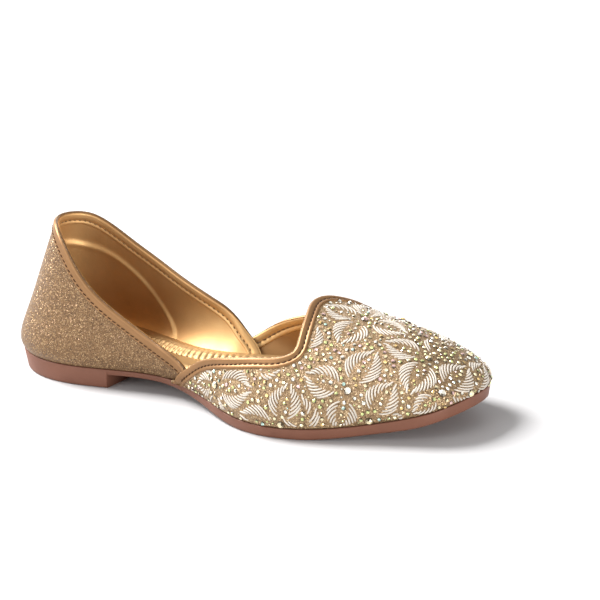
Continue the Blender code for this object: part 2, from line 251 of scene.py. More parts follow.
# Underside ahead of the heel block: distance from the back, height
UNDERSIDE = ((64.5, 6.6), (80.0, 6.7), (95.0, 6.0), (115.0, 3.6), (135.0, 1.1), (150.0, 0.0), (167.0, 0.0),
             (184.0, 0.0), (200.0, 1.3), (218.0, 4.0), (238.0, 8.0), (247.0, 10.8))
REST = (150.0, 184.0)  # the forefoot lies flat between these


def make_outsole():
    """Rows of the outline at rising heights, between two middle lines that close the bottom and the top.

    The bottom edge is a quarter circle, the wall leans out, and the top edge is a smaller quarter circle.
    """
    half = np.unique(np.concatenate([np.linspace(0, 1, 300), station_at(np.array(BREAST))]))
    loop = np.concatenate([half, 2 - half[-2:0:-1]])
    foot = rib_at(loop)
    heel = foot[:, 0] < sum(BREAST) / 2
    table = np.array(UNDERSIDE)
    tread = spline(table[:, 0], table[:, 1:])(foot[:, 0])[:, 0]
    tread = np.where(heel | ((foot[:, 0] >= REST[0]) & (foot[:, 0] <= REST[1])), 0, np.maximum(tread, 0))
    top = foot[:, 2] - FEATHER_GAP
    taper = np.where(heel, HEEL_TAPER, SOLE_TAPER)
    middle = spine(loop)
    length = len(half)
    rows = [(middle, np.interp(middle[:, 0], foot[:length, 0], tread[:length]))]
    for angle in np.linspace(0, pi / 2, 6):
        inwards = taper + BOTTOM_RADIUS * (1 - sin(angle))
        rows.append((outline(loop, SOLE_FLARE - inwards)[0], tread + BOTTOM_RADIUS * (1 - cos(angle))))
    for angle in np.linspace(0, pi / 2, 5):
        inwards = TOP_RADIUS * (1 - cos(angle))
        rows.append((outline(loop, SOLE_FLARE - inwards)[0], top - TOP_RADIUS * (1 - sin(angle))))
    rows.append((middle, np.interp(middle[:, 0], foot[:length, 0], top[:length])))
    points = np.array([np.column_stack([plan, z]) for plan, z in rows])
    return grid_object("sole_unit", points, closed=True)


sole = make_outsole()
rubber, shader = material("brown_rubber", (0.20, 0.083, 0.052), 0.5, IOR=1.5, Specular_IOR_Level=0.3)
mottle = ((0.3, (0.163, 0.064, 0.038)), (0.7, (0.197, 0.081, 0.049)))
join(rubber, ramp(rubber, object_noise(rubber, 60.0), mottle), shader.inputs["Base Color"])
# The tread's fine ribs are only where the rubber faces down
face = node(rubber, "ShaderNodeNewGeometry").outputs["Normal"]
facing_down = node(rubber, "ShaderNodeSeparateXYZ", {"Vector": face}).outputs["Z"]
limits = {"From Min": -0.8, "From Max": -0.95}
underside = node(rubber, "ShaderNodeMapRange", {"Value": facing_down, **limits}).outputs["Result"]
place = node(rubber, "ShaderNodeTexCoord").outputs["Object"]
ribs = node(rubber, "ShaderNodeTexWave", {"Vector": place, "Scale": 70.0, "Distortion": 0.0}).outputs["Fac"]
tread, grain = multiply(rubber, ribs, underside), multiply(rubber, object_noise(rubber, 2500.0, 4.0), 0.04)
relief = node(rubber, "ShaderNodeMath", {0: tread, 1: grain}, operation="ADD").outputs[0]
bump(rubber, shader, relief, 0.7)
sole.data.materials.append(rubber)
sole.data.set_sharp_from_angle(angle=radians(35))
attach(sole, "root")
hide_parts("outsole")

# Quarter
# The back of the shoe: cotton backed fabric covered with fine gold glitter, cut to a collar that runs from
# high on the heel down to the arch. Its front edges go under the vamp's wings.

# Bound edge: foot x, lateral z, medial z
QUARTER_EDGE = ((0.0, 72.6, 72.6), (15.0, 71.3, 69.8), (31.0, 65.0, 63.8), (45.0, 54.6, 56.2),
                (60.0, 43.2, 48.8), (75.0, 34.4, 41.4), (93.0, 25.4, 32.8), (103.0, 21.0, 25.8),
                (109.0, 16.8, 18.6), (113.0, 12.8, 14.0), (117.0, 8.2, 8.2))
BULGE_HEIGHT, ARCH_HEIGHT = 8.0, 22.0  # the swelling is fullest, and the arch's lean whole, this far up
FABRIC = 0.6
QUARTER_DIP = 1.5  # how far the quarter sinks where the vamp lies over it
LAP = (95.0, 107.0)  # it sinks between these distances from the back
QUARTER_COLUMNS, QUARTER_ROWS, LINING_ROWS = 301, 70, 130


def last(station, girth):
    """Outside of the last. Girth is 0 at the lateral feather edge, 1 on the crest and 2 at the medial one.

    Each rib goes from its foot to the crest: across follows one less the cosine, and rise the sine, of the
    share of a quarter turn, both to the power of two over the rib's roundness. The height adds the rise of
    the crest's own slope. The side swells near the sole by height times the exponential of less height, and
    the inner side leans out by the arch times the sine of its height.
    """
    station, girth = np.broadcast_arrays(np.asarray(station, float), np.asarray(girth, float))
    girth = np.where((station > 1) | (station < 0), 2 - girth, girth)
    station = np.where(station > 1, 2 - station, np.abs(station))
    lateral = girth <= 1
    values = rib_at(np.where(lateral, station, 2 - station))
    x, y, foot_z, crest_x, crest_z, fall, roundness, bulge, arch = np.moveaxis(values, -1, 0)
    angle = np.clip(1 - np.abs(girth - 1), -0.3, 1) * pi / 2
    across = 1 - np.cos(angle) ** (2 / roundness)
    rise = np.sign(angle) * np.abs(np.sin(angle)) ** (2 / roundness)
    dx, dy = crest_x - x, centre_y(crest_x) - y
    lean = -fall * dx
    z = foot_z + lean * across + (crest_z - foot_z - lean) * rise
    height = np.clip(z - foot_z, 0, None)
    low = height / BULGE_HEIGHT
    lean_out = arch * np.sin(np.clip(height / ARCH_HEIGHT, 0, 1) * pi / 2)
    out = (bulge * low * np.exp(1 - low) + lean_out) * (1 - across) / np.hypot(dx, dy)
    return np.stack([x + dx * (across - out), y + dy * (across - out), z], -1)


def unit(vectors):
    """Vectors brought to length one."""
    return vectors / np.linalg.norm(vectors, axis=-1, keepdims=True)


def tangents(station, girth):
    """Point of the last with its slopes along station and girth, by central differences, and its normal."""
    step = 0.0005
    along = (last(station + step, girth) - last(station - step, girth)) / (2 * step)
    around = (last(station, girth + step) - last(station, girth - step)) / (2 * step)
    return last(station, girth), along, around, unit(np.cross(along, around))


def over_last(station, girth, lift):
    """Point at a height above the last, measured along its normal."""
    point, _, _, normal = tangents(station, girth)
    return point + normal * np.asarray(lift)[..., None]


def dot(a, b):
    """Dot products of two arrays of vectors."""
    return np.sum(a * b, axis=-1)


def walk(station, girth, heading, distance, steps=8):
    """Straightest path over the last. Each step moves a target along the heading, finds the station and
    girth under it by least squares, and turns the heading into the new tangent plane."""
    stride = np.broadcast_to(distance, station.shape)[..., None] / steps
    point, along, around, normal = tangents(station, girth)
    for _ in range(steps):
        heading = unit(heading - normal * dot(heading, normal)[..., None])
        target = point + heading * stride
        for _ in range(2):
            gap = target - point
            aa, ab, bb = dot(along, along), dot(along, around), dot(around, around)
            ga, gb = dot(gap, along), dot(gap, around)
            area = aa * bb - ab * ab
            station = station + (ga * bb - gb * ab) / area
            girth = girth + (gb * aa - ga * ab) / area
            point, along, around, normal = tangents(station, girth)
    return station, girth, heading


def even_path(rows, count):
    """Rows of station and girth spaced evenly over the last, on a smooth curve through the given rows."""
    def travelled(path):
        steps = np.linalg.norm(np.diff(last(path[:, 0], path[:, 1]), axis=0), axis=1)
        return np.concatenate([[0], np.cumsum(steps)]) / steps.sum()
    curve = spline(travelled(rows), rows)
    fine = np.linspace(0, 1, 1200)
    return curve(np.interp(np.linspace(0, 1, count), travelled(curve(fine)), fine))


def share_at_height(station, lateral, height):
    """Share of a rib at which it reaches a height."""
    shares = np.linspace(0, 1, 801)
    return np.array([np.interp(z, last(t, shares if lateral else 2 - shares)[:, 2], shares)
                     for t, z in zip(station, height)])


def quarter_edge():
    """Collar's edge from the inner side's front end, round the heel, to the outer side's front end."""
    table = np.array(QUARTER_EDGE)
    station = station_at(table[:, 0])
    outer_side = np.column_stack([station, share_at_height(station, True, table[:, 1])])
    inner_side = np.column_stack([-station, share_at_height(station, False, table[:, 2])])
    return np.vstack([inner_side[::-1], outer_side[1:]])


def quarter_lift(points):
    """Height over the last: a smooth step down where the quarter goes under the vamp."""
    return -QUARTER_DIP * smooth((points[..., 0] - LAP[0]) / (LAP[1] - LAP[0]))


def quarter_grid(columns, rows):
    """Stations and girths from the feather edge up to the collar: both run evenly along each column."""
    edge = even_path(quarter_edge(), columns)
    front = station_at(QUARTER_EDGE[-1][0])
    foot = np.linspace(-front, front, columns)
    share = np.linspace(0, 1, rows)[:, None]
    return foot + (edge[:, 0] - foot) * share, edge[:, 1] * share


station, girth = quarter_grid(QUARTER_COLUMNS, QUARTER_ROWS)
skin = last(station, girth)
quarter = grid_object("quarter_fabric", over_last(station, girth, quarter_lift(skin)))
shell = quarter.modifiers.new("Fabric", "SOLIDIFY")
shell.thickness = FABRIC * MM
shell.offset = -1


FLAKE, FLAKE_TILT = 0.38, 0.9


def glitter(name, dark, middle, light, metallic, roughness):
    """Fabric of glued flakes: a Voronoi cell a flake, each with its own colour and its own tilt, which adds
    the cell's colour less a half, times a factor, to the face's normal."""
    surface, shader = material(name, middle, roughness, metallic)
    inputs = {"Vector": node(surface, "ShaderNodeTexCoord").outputs["Object"], "Scale": 1 / (FLAKE * MM)}
    flakes = node(surface, "ShaderNodeTexVoronoi", inputs, feature="F1").outputs["Color"]
    tone = node(surface, "ShaderNodeSeparateColor", {"Color": flakes}).outputs["Red"]
    tone = ramp(surface, tone, ((0.0, dark), (0.35, middle), (0.8, middle), (1.0, light)))
    join(surface, tone, shader.inputs["Base Color"])
    normal = flakes
    for operation, inputs in (
            ("SUBTRACT", {1: (0.5, 0.5, 0.5)}),
            ("SCALE", {"Scale": FLAKE_TILT}),
            ("ADD", {1: node(surface, "ShaderNodeNewGeometry").outputs["Normal"]}),
            ("NORMALIZE", {})):
        normal = node(surface, "ShaderNodeVectorMath", {0: normal, **inputs}, operation=operation).outputs[0]
    join(surface, normal, shader.inputs["Normal"])
    return surface


quarter.data.materials.append(glitter("gold_glitter", (0.08, 0.038, 0.016), (0.205, 0.114, 0.050),
                                      (0.56, 0.38, 0.20), 0.5, 0.42))
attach(quarter, "root")
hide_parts("upper")

# Quarter lining
# Thin gold coated leather glued inside the quarter over a moulded heel stiffener, whose upper edge shows
# as a soft ridge that runs down to the arch.

WALL, COUNTER_WALL = 1.6, 2.5  # of fabric and lining, and with the stiffener between them
# Upper edge of the stiffener: foot x, height
COUNTER = ((0.0, 57.0), (8.0, 54.5), (18.0, 52.0), (28.0, 48.8), (37.0, 44.2), (45.0, 38.8), (54.0, 30.3),
           (61.0, 21.5), (68.0, 12.5), (70.0, 9.0))
COUNTER_FADE = (66.0, 71.0)  # stiffener and ridge end between these distances from the back
RIDGE, RIDGE_WIDTH = 0.95, 1.3
SKIVE, SKIVE_PAST = 3.0, 0.3  # height over which the stiffener thins out, and the share of it past the edge


def counter_height(station):
    """Height of the stiffener's upper edge at a station."""
    table = np.array(COUNTER)
    return spline(table[:, 0], table[:, 1:])(np.interp(np.abs(station), fine_stations, fine_feet))[..., 0]


def lining_depth(station, points):
    """Depth of the lining under the last: the wall, and a smooth step more where the stiffener lies.

    Along the stiffener's upper edge it adds the exponential of less the squared height above that edge.
    """
    above = points[..., 2] - counter_height(station)
    start, end = station_at(np.array(COUNTER_FADE))
    front = 1 - smooth((np.abs(station) - start) / (end - start))
    stiffener = (COUNTER_WALL - WALL) * smooth(-above / SKIVE + SKIVE_PAST)
    return WALL + front * (stiffener + RIDGE * np.exp(-(above / RIDGE_WIDTH) ** 2))


station, girth = quarter_grid(QUARTER_COLUMNS, LINING_ROWS)
skin = last(station, girth)
depth = lining_depth(station, skin)
lining = grid_object("quarter_lining", over_last(station, girth, quarter_lift(skin) - depth)[:, ::-1])


def gold_leather(name, colour, dark, roughness, metallic):
    """Foil coated leather: a metallic film over fine grain, a little darker and rougher in patches."""
    surface, shader = material(name, colour, roughness, metallic)
    patches = object_noise(surface, 55.0, 2.0)
    join(surface, ramp(surface, patches, ((0.35, dark), (0.65, colour))), shader.inputs["Base Color"])
    scuffs = object_noise(surface, 400.0)
    limits = {"To Min": roughness - 0.05, "To Max": roughness + 0.07}
    rough = node(surface, "ShaderNodeMapRange", {"Value": scuffs, **limits})
    join(surface, rough.outputs["Result"], shader.inputs["Roughness"])
    bump(surface, shader, object_noise(surface, 1100.0, 4.0), 0.025)
    return surface


foil = gold_leather("gold_lining", (0.77, 0.50, 0.23), (0.71, 0.44, 0.19), 0.55, 0.85)
lining.data.materials.append(foil)
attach(lining, "root")
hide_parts("upper")

# Insole
# A gold leather sock over foam, glued on the board. Its padded border rises against the wall, and the
# leather is gathered where the border is sewn down to the flat middle.

# Distance from the edge, height above the board: the rolled border, its inner slope, the seam, the middle
FOOTBED = ((0.0, 0.0), (0.0, 1.0), (0.6, 2.0), (2.0, 2.8), (4.5, 3.0), (7.0, 2.6), (9.2, 1.7), (10.4, 0.9),
           (11.0, 0.5), (11.5, 0.6), (12.3, 1.2), (13.6, 1.6), (14.6, 1.7))
GATHERS = (3.6, 11.2)  # the gathers run between these distances from the edge
GATHER_DEPTH, GATHER_PITCH = 1.0, 3.5
SEAM = 10.9  # the dark stitches lie this far from the edge
SOCK_TUCK = 0.3  # the sock's edge presses into the lining
COUNTER_FRONT = (63.0, 71.0)  # the wall beside the sock thins out between these distances from the back
SOCK_LOOP = np.linspace(0, 2, 1401)[:-1]


def sock_inset(foot):
    """Distance from the outline to the sock's edge: the wall's thickness, more beside the stiffener."""
    ahead = (foot[:, 0] - COUNTER_FRONT[0]) / (COUNTER_FRONT[1] - COUNTER_FRONT[0])
    return WALL + (COUNTER_WALL - WALL) * (1 - smooth(ahead)) - SOCK_TUCK


def gather_phase():
    """Number of gathers from the heel to each place of the loop, counted along the seam."""
    row = outline(SOCK_LOOP, -sock_inset(rib_at(SOCK_LOOP)) - SEAM)[0]
    steps = np.linalg.norm(np.diff(row, axis=0, append=row[:1]), axis=1)
    return round(steps.sum() / GATHER_PITCH) * (np.cumsum(steps) - steps) / steps.sum()


def make_insole():
    """Rows of the outline moved in by the footbed's distances, at its heights, and then on to the middle
    line, which lies halfway between both sides of the outline.

    A gather takes away a depth times one less the square root of the size of a sine along the row. Across
    the border it follows the sine of the square of the share.
    """
    loop = SOCK_LOOP
    foot = rib_at(loop)
    half = len(loop) // 2 + 1
    halfway = (foot + rib_at(2 - loop)) / 2
    middle = np.clip(halfway[:, 0], *MIDDLE_LINE)
    middle = np.column_stack([middle, np.interp(middle, halfway[:half, 0], halfway[:half, 1])])
    board = np.interp(middle[:, 0], foot[:half, 0], foot[:half, 2])
    gap = 1 - np.sqrt(np.abs(np.sin(pi * gather_phase())))
    section = np.array(FOOTBED)
    travelled = np.concatenate([[0], np.cumsum(np.hypot(*np.diff(section, axis=0).T))])
    fine = np.unique(np.concatenate([travelled, np.linspace(0, travelled[-1], 40)]))
    distance, height = np.interp(fine, travelled, section[:, 0]), np.interp(fine, travelled, section[:, 1])
    rows = [np.column_stack([middle, board])]
    for d, h in zip(distance, height):
        across = np.sin(pi * np.clip((d - GATHERS[0]) / (GATHERS[1] - GATHERS[0]), 0, 1) ** 2)
        plan, z = outline(loop, -sock_inset(foot) - d)
        rows.append(np.column_stack([plan, z + h - GATHER_DEPTH * across * gap]))
    rim = rows[-1]
    for share in np.linspace(0, 1, 9)[1:]:
        plan = rim[:, :2] + (middle - rim[:, :2]) * share
        flat = np.interp(plan[:, 0], foot[:half, 0], foot[:half, 2]) + height[-1]
        rows.append(np.column_stack([plan, rim[:, 2] + (flat - rim[:, 2]) * smooth(share)]))
    return grid_object("insole_sock", np.array(rows), closed=True)


insole = make_insole()
# Painted shade: the sock is the lining's foil coated leather, drawn darker for the shade the walls cast over
# it
insole.data.materials.append(gold_leather("gold_sock_shaded", (0.50, 0.32, 0.145), (0.45, 0.285, 0.127),
                                          0.5, 0.75))
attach(insole, "root")
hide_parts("insole")

# Vamp
# The front: gold glitter cloth cut to two wings and a tongue, lapped over the quarter at the arch. It is
# lined with the same foil coated leather, drawn darker and browner as painted shade for the dim inside of
# the vamp.

# Bound edge: foot x, share of the rib
VAMP_EDGE = ((100.5, -0.02), (105.5, 0.045), (112.0, 0.098), (124.0, 0.19), (146.0, 0.321), (162.0, 0.405),
             (172.0, 0.465), (175.5, 0.52), (175.0, 0.60), (173.0, 0.69), (170.0, 0.80), (167.0, 0.89),
             (165.0, 1.0))
VAMP_LIFT = 0.45  # the wings' ends stand out over the quarter
WING_END = 112.0  # up to here they lie over it, and ahead of it they settle on the last and thicken
WING_SETTLES, WING_THICKENS, WING_WALL = 25.0, 18.0, 0.9
LEAN_START, LEAN = 110.0, 1.5  # ahead of here the columns lean towards the toe near their feet
VAMP_COLUMNS, VAMP_ROWS = 321, 90


def vamp_edge():
    """Throat from the outer wing's end over the tongue's peak to the inner wing's end."""
    table = np.array(VAMP_EDGE)
    table[:, 0] = station_at(table[:, 0])
    inner_side = np.column_stack([table[::-1, 0], 2 - table[::-1, 1]])
    return np.vstack([table, inner_side[1:]])


def vamp_lift(points):
    """Height over the last: the wings' ends stand out and settle on it with a smooth step."""
    return VAMP_LIFT * (1 - smooth((points[..., 0] - WING_END) / WING_SETTLES))


def vamp_wall(points):
    """Thickness with the lining: the wings are skived where they lie over the quarter."""
    return WING_WALL + (WALL - WING_WALL) * smooth((points[..., 0] - WING_END) / WING_THICKENS)


def vamp_grid(columns, rows):
    """Stations and girths from the feather edge up to the throat, worked out round the whole outline.

    The feet of the columns are spaced evenly from one wing's end over the toe to the other's. Up a column,
    the station follows a power of the height, and the share of the rib one less that power of what is left.
    """
    edge = even_path(vamp_edge(), columns)
    places = np.linspace(0, 1, columns)
    foot = 1 - (1 - station_at(VAMP_EDGE[0][0])) * np.abs(2 * places - 1)
    power = 1 + LEAN * smooth((foot - station_at(LEAN_START)) / (1 - station_at(LEAN_START)))
    foot = np.where(places > 0.5, 2 - foot, foot)
    throat = np.where(edge[:, 1] > 1, 2 - edge[:, 0], edge[:, 0])
    height = np.linspace(0, 1, rows)[:, None]
    loop = foot + (throat - foot) * height ** power
    share = (1 - np.abs(edge[:, 1] - 1)) * (1 - (1 - height) ** power)
    medial = loop > 1
    return np.where(medial, 2 - loop, loop), np.where(medial, 2 - share, share)


station, girth = vamp_grid(VAMP_COLUMNS, VAMP_ROWS)
skin = last(station, girth)
vamp = grid_object("vamp_fabric", over_last(station, girth, vamp_lift(skin)))
shell = vamp.modifiers.new("Fabric", "SOLIDIFY")
shell.thickness = FABRIC * MM
shell.offset = -1
vamp.data.materials.append(glitter("vamp_glitter", (0.11, 0.062, 0.030), (0.32, 0.205, 0.104),
                                   (0.80, 0.60, 0.36), 0.42, 0.38))
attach(vamp, "root")
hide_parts("upper")

inside = grid_object("vamp_lining", over_last(station, girth, vamp_lift(skin) - vamp_wall(skin))[:, ::-1])
# Painted shade: the lining's foil drawn darker and browner for the shade inside the vamp
inside.data.materials.append(gold_leather("vamp_lining_shaded_foil", (0.41, 0.215, 0.078), (0.37, 0.19, 0.068),
                                          0.42, 0.6))
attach(inside, "root")
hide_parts("upper")

# Embroidery
# Cream silk cords, under a millimetre thick, couched down in open leaves: each leaf is two rows of curved
# barbs either side of a bare middle, and four leaves or so stand round each large stone.

CORD_RADIUS, CORD_SIDES, CORD_FLATNESS = 0.41, 8, 0.7
LEAF_BASE = 4.0  # the leaves start this far from the stone
BARB_PITCH = 2.15  # millimetres of a leaf's length for each barb of a row
BARB_POINTS, SHORTEST_BARB = 11, 4
BINDING_REACH = 5.6  # the binding covers the vamp this far from its edge
SOLE_SHARE = 0.012  # the sole hides the foot of each rib up to this share
LEAF_GAP, CLEAR_SHARE = 1.0, 0.65  # cords of two leaves keep apart, or the later one is cut or left out
LONGEST_STEP, SHARPEST_TURN = 3.0, radians(25)  # a barb that breaks these was drawn out by the toe's tip
# Shares of a leaf's length: where its first barb starts, and how far on the last one does; how far on the
# first one ends, and how much less the last one; half the width of its bare middle, and of its outline
FIRST_BARB, BARB_SPREAD, BARB_RUN, BARB_LOSS = 0.08, 0.78, 0.42, 0.25
BARE_HALF, LEAF_HALF = 0.17, 0.47
# Stone in the middle of a flower: foot x, girth, then each leaf's turn from the toe's direction and reach
FLOWERS = (
    (137.0, 0.127, ((16, 25), (-80, 20), (-161, 16), (162, 10))),
    (177.0, 0.002, ((81, 21), (173, 22))),
    (205.0, 0.287, ((161, 21), (64, 23), (-102, 19))),
    (214.5, 0.026, ((52, 21), (2, 15))),
    (242.2, 0.335, ((-152, 16), (39, 24), (-3, 17))),
    (237.3, 0.867, ((-179, 21), (82, 22), (44, 17), (-89, 23))),
    (194.5, 0.988, ((-173, 20), (-88, 22), (6, 21), (113, 21))),
)
# Flowers of the toe's tip and of the inner side
FAR_FLOWERS = (
    (246.8, 0.12, ((28, 24),)),
    (238.0, 1.40, ((-174, 21), (95, 20), (20, 15))),
    (198.0, 1.36, ((10, 17), (100, 15), (-80, 14), (-170, 16))),
)
# Leaves cut by the binding or by the sole, whose flowers have no stone on the cloth
CUT_LEAVES = (
    (187.0, -0.08, ((90, 22),)),
    (179.5, 0.501, ((90, 18),)),
    (159.4, 0.304, ((24, 14),)),
    (177.0, 0.414, ((-156, 14),)),
)
SIDE_GIRTH = 0.3  # flowers below this girth are repeated on the inner side


def leaf(turn, reach):
    """Barbs of a leaf as polar places round its stone, one barb a row, first one half and then the other.

    Along and beside the leaf, as shares of its length, each starts at the edge of the leaf's bare middle, a
    low power of a sine, and ends further on, on the leaf's outline, a higher sine. On the way it bows
    outwards by a ninth of its own length, times a parabola.
    """
    length, along = reach - LEAF_BASE, np.linspace(0, 1, BARB_POINTS)
    order = np.linspace(0, 1, max(4, round(length / BARB_PITCH)))[:, None]
    start_u = FIRST_BARB + BARB_SPREAD * order
    start_v = BARE_HALF * np.sin(pi * (0.2 + 0.75 * start_u)) ** 1.2
    end_u = start_u + BARB_RUN - BARB_LOSS * order**2
    end_v = LEAF_HALF * np.sin(pi * np.minimum(end_u, 0.985)) ** 0.75
    bow = along * (1 - along) * np.hypot(end_u - start_u, end_v - start_v) * 4 / 9
    slope = np.arctan2(end_v - start_v, end_u - start_u)
    u = start_u + (end_u - start_u) * along - bow * np.sin(slope)
    v = start_v + (end_v - start_v) * along + bow * np.cos(slope)
    u, v = LEAF_BASE + length * np.vstack([u, u]), length * np.vstack([v, -v])
    return np.hypot(u, v), radians(turn) + np.arctan2(v, u)


def from_stone(station, girth, radius, angle):
    """Stations and girths walked out from a flower's stone, at angles from the toe's direction."""
    station, girth = np.full(radius.shape, station), np.full(radius.shape, girth)
    _, along, _, normal = tangents(station, girth)
    ahead = unit(along)
    heading = ahead * np.cos(angle)[..., None] + np.cross(normal, ahead) * np.sin(angle)[..., None]
    return walk(station, girth, heading, radius)[:2]


def mirrored(leaves):
    """Leaves of a flower as they lie on the inner side."""
    return tuple((-turn, reach) for turn, reach in leaves)


def flowers():
    """Station, girth and leaves of every flower."""
    placed = [(station_at(x), g, leaves) for x, g, leaves in FLOWERS + FAR_FLOWERS]
    placed += [(station_at(x), 2 - g, mirrored(leaves)) for x, g, leaves in FLOWERS if g < SIDE_GIRTH]
    return placed


def cut_leaves():
    """Station, girth and leaves of the flowers without a stone, on both sides of the foot."""
    return [(station_at(x), place, shown) for x, g, leaves in CUT_LEAVES
            for place, shown in ((g, leaves), (2 - g, mirrored(leaves)))]


def share_of(station, girth):
    """Share of the rib, also for places past the toe."""
    return 1 - np.abs(np.where(station > 1, 2 - girth, girth) - 1)


def distance_to(points, others):
    """Least distance from each point to any of the others, in parts of about two thousand points."""
    flat = points.reshape(-1, 3)
    parts = np.array_split(flat, len(flat) // 2000 + 1)
    found = [np.sqrt(((part[:, None] - others[None]) ** 2).sum(-1).min(1)) for part in parts]
    return np.concatenate(found).reshape(points.shape[:-1])


throat_path = even_path(vamp_edge(), 240)
throat_line = last(throat_path[:, 0], throat_path[:, 1])


def on_cloth(station, girth, margin=0.0):
    """Whether a place lies ahead of the throat, clear of its binding, and above the sole."""
    ahead = station > np.interp(girth, throat_path[:, 1], throat_path[:, 0])
    clear = distance_to(last(station, girth), throat_line) > BINDING_REACH + margin
    return ahead & clear & (share_of(station, girth) > SOLE_SHARE)


def sew_leaves():
    """Barbs of all leaves. A barb that runs into the leaves sewn before its own is left out, and the others
    are cut to their longest stretch on open cloth and spaced evenly again."""
    rows, sewn = [], np.full((1, 3), 1e6)
    places = np.arange(BARB_POINTS)
    for station, girth, leaves in flowers() + cut_leaves():
        for turn, reach in leaves:
            t, g = from_stone(station, girth, *leaf(turn, reach))
            points = last(t, g)
            steps = np.diff(points, axis=1)
            even = np.linalg.norm(steps, axis=2).max(axis=1) < LONGEST_STEP
            even &= dot(unit(steps[:, 1:]), unit(steps[:, :-1])).min(axis=1) > cos(SHARPEST_TURN)
            clear = distance_to(points, sewn) > LEAF_GAP
            whole = even & (clear.mean(axis=1) > CLEAR_SHARE)
            new = []
            for barb_t, barb_g, open_cloth in zip(t[whole], g[whole], (on_cloth(t, g) & clear)[whole]):
                runs = np.flatnonzero(np.diff(np.concatenate([[0], open_cloth, [0]]))).reshape(-1, 2)
                if not len(runs):
                    continue
                first, after = runs[np.argmax(runs[:, 1] - runs[:, 0])]
                if after - first >= SHORTEST_BARB:
                    spread = np.linspace(first, after - 1, BARB_POINTS)
                    new.append((np.interp(spread, places, barb_t), np.interp(spread, places, barb_g)))
            if new:
                rows += new
                sewn = np.vstack([sewn] + [last(barb_t, barb_g) for barb_t, barb_g in new])
    return (np.array(part) for part in zip(*rows))


def threads(name, station, girth, height, radius, sides, side=1, flatness=1.0):
    """Threads along rows of places at a height over the last, on its outer or, with -1, its inner side."""
    base, _, _, normal = tangents(station, girth)
    base = base + normal * np.asarray(height)[..., None]
    return tubes(name, base, side * normal, radius, sides, flatness)


THREAD_RISE, END_DIP, END_RADIUS = 0.6, 1.5, 0.3  # in radii: height of the core, dip and radius of its ends


def tubes(name, base, normal, radius, sides, flatness=1.0):
    """Threads lying on rows of points: a flattened ring round each centre. A low power of a sine along the
    thread draws in both of its ends and dips them under the face that the normals leave."""
    ends = np.sin(pi * np.linspace(0, 1, base.shape[1])) ** 0.28
    centre = base + normal * (radius * (THREAD_RISE - END_DIP * (1 - ends)))[..., None]
    tangent = unit(np.gradient(centre, axis=1))
    binormal = unit(np.cross(tangent, normal))
    upright = np.cross(binormal, tangent)
    angle = np.linspace(0, 2 * pi, sides, endpoint=False)
    ring = upright[:, :, None] * (flatness * np.cos(angle))[:, None]
    ring = ring + binormal[:, :, None] * np.sin(angle)[:, None]
    points = centre[:, :, None] + ring * (radius * (END_RADIUS + (1 - END_RADIUS) * ends))[:, None, None]
    index = np.arange(points[..., 0].size).reshape(*base.shape[:2], sides)
    after = np.roll(index, -1, axis=2)
    quads = np.stack([index[:, :-1], after[:, :-1], after[:, 1:], index[:, 1:]], -1).reshape(-1, 4)
    caps = index[:, 0, ::-1].tolist() + index[:, -1].tolist()
    steps = np.linalg.norm(np.diff(centre, axis=1, prepend=centre[:, :1]), axis=2)
    uv = np.stack(np.broadcast_arrays(np.cumsum(steps, axis=1)[:, :, None], angle / (2 * pi)), -1)
    return mesh_object(name, points.reshape(-1, 3), quads.tolist() + caps, uv)


barb_station, barb_girth = sew_leaves()
silk = threads("silk_cords", barb_station, barb_girth, vamp_lift(last(barb_station, barb_girth)),
               CORD_RADIUS, CORD_SIDES, flatness=CORD_FLATNESS)
thread, shader = material("cream_silk", (0.84, 0.77, 0.67), 0.4, 0.0, Sheen_Weight=0.3)
place = node(thread, "ShaderNodeUVMap", uv_map="pattern").outputs["UV"]
turned = {"Vector": place, "Scale": (1.0, 1.4, 1.0), "Rotation": (0, 0, 0.7)}
slant = node(thread, "ShaderNodeMapping", turned).outputs["Vector"]
twist = node(thread, "ShaderNodeTexWave", {"Vector": slant, "Scale": 0.9, "Distortion": 0.2}).outputs["Fac"]
# Painted shade: the cord is drawn darker where its twist sinks, in the grooves between strands
groove_shaded_strands = ramp(thread, twist, ((0.1, (0.68, 0.59, 0.49)), (0.6, (0.84, 0.77, 0.67))))
join(thread, groove_shaded_strands, shader.inputs["Base Color"])
bump(thread, shader, twist, 0.1)
silk.data.materials.append(thread)
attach(silk, "root")

# Stones
# Flat backed glass stones with a rainbow film, glued on: a large one in each flower, two along the bare
# middle of each leaf, a row along the sole, many small ones over the open cloth, and beads between them.

LARGE_STONE, SMALL_STONES, BEADS = 1.9, (0.9, 1.15), (0.45, 0.65)  # radii
LEAF_STONES = ((0.16, 1.0), (0.46, 0.85))  # share of the leaf's reach at which each lies, radius
STONE_GAP, STONE_MARGIN = 0.5, 0.6  # between two stones, and from the binding
STONE_TRIES, BEAD_TRIES = 10000, 5000
CLOTH_START = 106.0  # they are strewn from this distance to the toe
EDGE_ROW, EDGE_GIRTH = np.arange(103.5, 152.0, 2.7), 0.018  # foot x of the row along the sole
# Three rings of a stone: share of the radius, height as a share of the radius
STONE_RINGS = ((1.0, -0.1), (0.86, 0.3), (0.46, 0.66))
FACETS = 8
# Film colours: clear, champagne, yellow green, rose, pale blue, amber
TINTS = ((0.95, 0.92, 0.80), (0.92, 0.80, 0.50), (0.66, 0.72, 0.30), (0.84, 0.56, 0.54),
         (0.50, 0.72, 0.64), (0.86, 0.60, 0.24))
TINT_SHARES = (0.22, 0.28, 0.24, 0.11, 0.05, 0.10)
RIM_FOIL_AND_SHADE = (0.07, 0.045, 0.02)  # dark round the edge: the foil backing, and painted shade where the stone meets the cloth
CROWN_GLINT, TABLE = 1.5, 0.95  # how bright the painted glint is on the facets, and the film on the table
